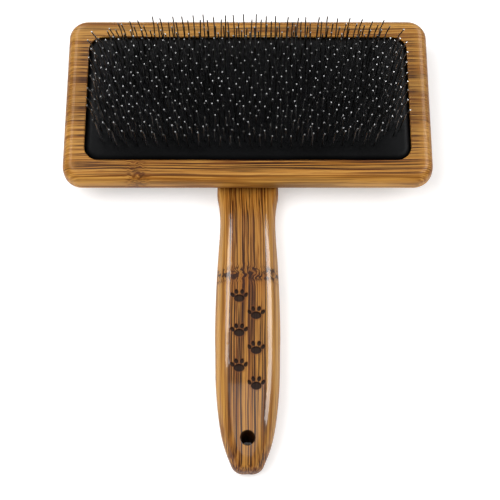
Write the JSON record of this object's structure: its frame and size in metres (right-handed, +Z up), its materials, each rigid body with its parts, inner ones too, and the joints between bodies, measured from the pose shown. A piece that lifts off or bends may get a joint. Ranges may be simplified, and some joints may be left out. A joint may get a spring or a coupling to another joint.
{
  "type": "slicker brush",
  "caption": "Slicker brush for pets: rectangular wooden head with a pocketed rubber cushion of bent wire pins, lapped on a rounded wooden handle with a hanging hole.",
  "frame": {"origin": "on the plane that the brush rests on (the flat back of its handle), in the middle of the brush's length and width", "axes": "+X across the head, +Y from the handle's end to the head, +Z up out of the pad, along the pins"},
  "size_m": [0.1324, 0.171, 0.0354],
  "materials": {
    "bamboo_head": "satin lacquer, grain across the head",
    "bamboo_handle": "satin lacquer, grain along the handle",
    "screw_steel": "zinc plated",
    "pin_steel": "drawn wire",
    "rubber": "smooth matte",
    "felt": "woven cloth",
    "foam": "open-cell foam"
  },
  "bodies": {
    "root": {"head": "bamboo_head", "handle": "bamboo_handle", "lap_screw_1": "screw_steel", "lap_screw_2": "screw_steel", "foam_cushion": "foam"},
    "pin_pad": {"pad_foundation": "felt", "pad_facing": "rubber", "pin_row_01": "pin_steel", "pin_row_02": "pin_steel", "pin_row_03": "pin_steel", "pin_row_04": "pin_steel", "pin_row_05": "pin_steel", "pin_row_06": "pin_steel", "pin_row_07": "pin_steel", "pin_row_08": "pin_steel", "pin_row_09": "pin_steel", "pin_row_10": "pin_steel", "pin_row_11": "pin_steel", "pin_row_12": "pin_steel", "pin_row_13": "pin_steel", "pin_row_14": "pin_steel", "pin_row_15": "pin_steel", "pin_row_16": "pin_steel", "pin_row_17": "pin_steel", "pin_row_18": "pin_steel", "pin_row_19": "pin_steel", "pin_row_20": "pin_steel", "pin_row_21": "pin_steel", "pin_row_22": "pin_steel"}
  },
  "joints": [
    {"name": "cushion_press", "type": "slide", "parent": "root", "child": "pin_pad", "axis": [0, 0, 1], "range_m": [-0.002, 0], "stiffness_N_per_m": 6000, "deforming": ["foam_cushion"]}
  ]
}
